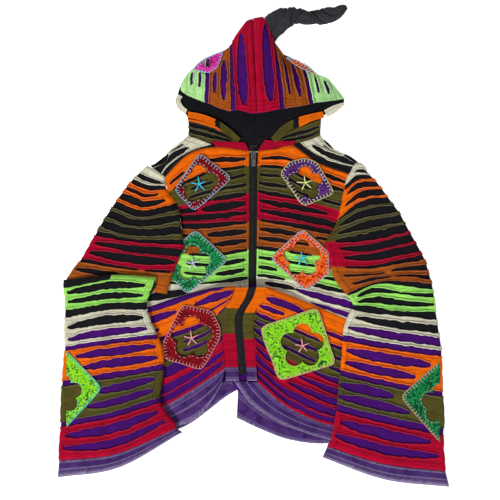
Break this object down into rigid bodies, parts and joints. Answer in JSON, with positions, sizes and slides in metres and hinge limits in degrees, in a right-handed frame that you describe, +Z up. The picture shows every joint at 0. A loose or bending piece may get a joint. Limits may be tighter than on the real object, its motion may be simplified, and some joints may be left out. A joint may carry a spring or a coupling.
{
  "type": "patchwork hoodie",
  "caption": "Zip hoodie in cut-open coloured strips over a plain under-layer, with flower patches, flared sleeves and a pointed hood with a tail, laid flat with its zip closed",
  "frame": {"origin": "middle of the laid-out garment's box, on the surface that it lies on", "axes": "+X to the right as the front is seen from above, +Y from the hem towards the hood, +Z up off the surface"},
  "size_m": [0.665, 0.8185, 0.0441],
  "materials": {
    "black_lining": "matt cotton jersey",
    "purple_lining": "matt cotton jersey",
    "striped_jersey": "matt cotton jersey in bands of ivory, orange, olive, red, brown and green, cut open in slits with curled edges",
    "washed_purple_rib": "washed cotton jersey, paler along its edges",
    "edging_jersey": "matt cotton jersey in bands of colour, topstitched",
    "patch_red": "cotton with a blanket-stitched edge",
    "patch_purple": "cotton with a blanket-stitched edge",
    "patch_green": "mottled cotton with a blanket-stitched edge",
    "patch_orange": "mottled cotton with a blanket-stitched edge",
    "patch_magenta": "mottled cotton with a blanket-stitched edge",
    "charcoal_jersey": "matt cotton jersey",
    "zip_tape": "woven polyester tape with a dark coil",
    "zip_metal": "dark worn plating",
    "label": "plain woven label with nothing on it"
  },
  "bodies": {
    "garment": {"back": "black_lining", "back_hem_left": "washed_purple_rib", "back_hem_right": "washed_purple_rib", "cuff_left": "washed_purple_rib", "cuff_right": "washed_purple_rib", "cut_front_lower_left": "striped_jersey", "cut_front_lower_right": "striped_jersey", "cut_front_upper_left": "striped_jersey", "cut_front_upper_right": "striped_jersey", "cut_hood_crown_left": "striped_jersey", "cut_hood_crown_right": "striped_jersey", "cut_shoulder_left": "striped_jersey", "cut_shoulder_right": "striped_jersey", "cut_sleeve_left_lower": "striped_jersey", "cut_sleeve_left_upper": "striped_jersey", "cut_sleeve_right": "striped_jersey", "front_lower_left": "purple_lining", "front_lower_right": "purple_lining", "front_upper_left": "black_lining", "front_upper_right": "black_lining", "hem_front_left": "washed_purple_rib", "hem_front_right": "washed_purple_rib", "hood_back": "black_lining", "hood_corner_left": "edging_jersey", "hood_corner_right": "edging_jersey", "hood_crown_left": "purple_lining", "hood_crown_right": "purple_lining", "hood_edge_left": "edging_jersey", "hood_edge_right": "edging_jersey", "hood_side_left": "striped_jersey", "hood_side_right": "striped_jersey", "hood_tail": "charcoal_jersey", "neck_band_left": "edging_jersey", "neck_band_right": "edging_jersey", "neck_label": "label", "patch_chest_left": "patch_red", "patch_chest_right": "patch_purple", "patch_hip_left": "patch_red", "patch_hip_right": "patch_green", "patch_hood_left": "patch_magenta", "patch_hood_right": "patch_orange", "patch_sleeve_left": "patch_green", "patch_sleeve_right": "patch_green", "patch_waist_left": "patch_green", "patch_waist_right": "patch_orange", "placket_hem_left": "washed_purple_rib", "placket_hem_right": "washed_purple_rib", "placket_left": "edging_jersey", "placket_right": "edging_jersey", "shoulder_left": "black_lining", "shoulder_right": "black_lining", "sleeve_left_lower": "black_lining", "sleeve_left_upper": "black_lining", "sleeve_right": "black_lining", "zip_lower": "zip_tape", "zip_slider": "zip_metal", "zip_upper": "zip_tape"},
    "pull": {"zip_pull": "zip_metal"}
  },
  "joints": [
    {"name": "pull_swing", "type": "hinge", "parent": "garment", "child": "pull", "pos_m": [0, 0.154, 0.0114], "axis": [-1, 0, 0], "range_deg": [0, 160]}
  ]
}
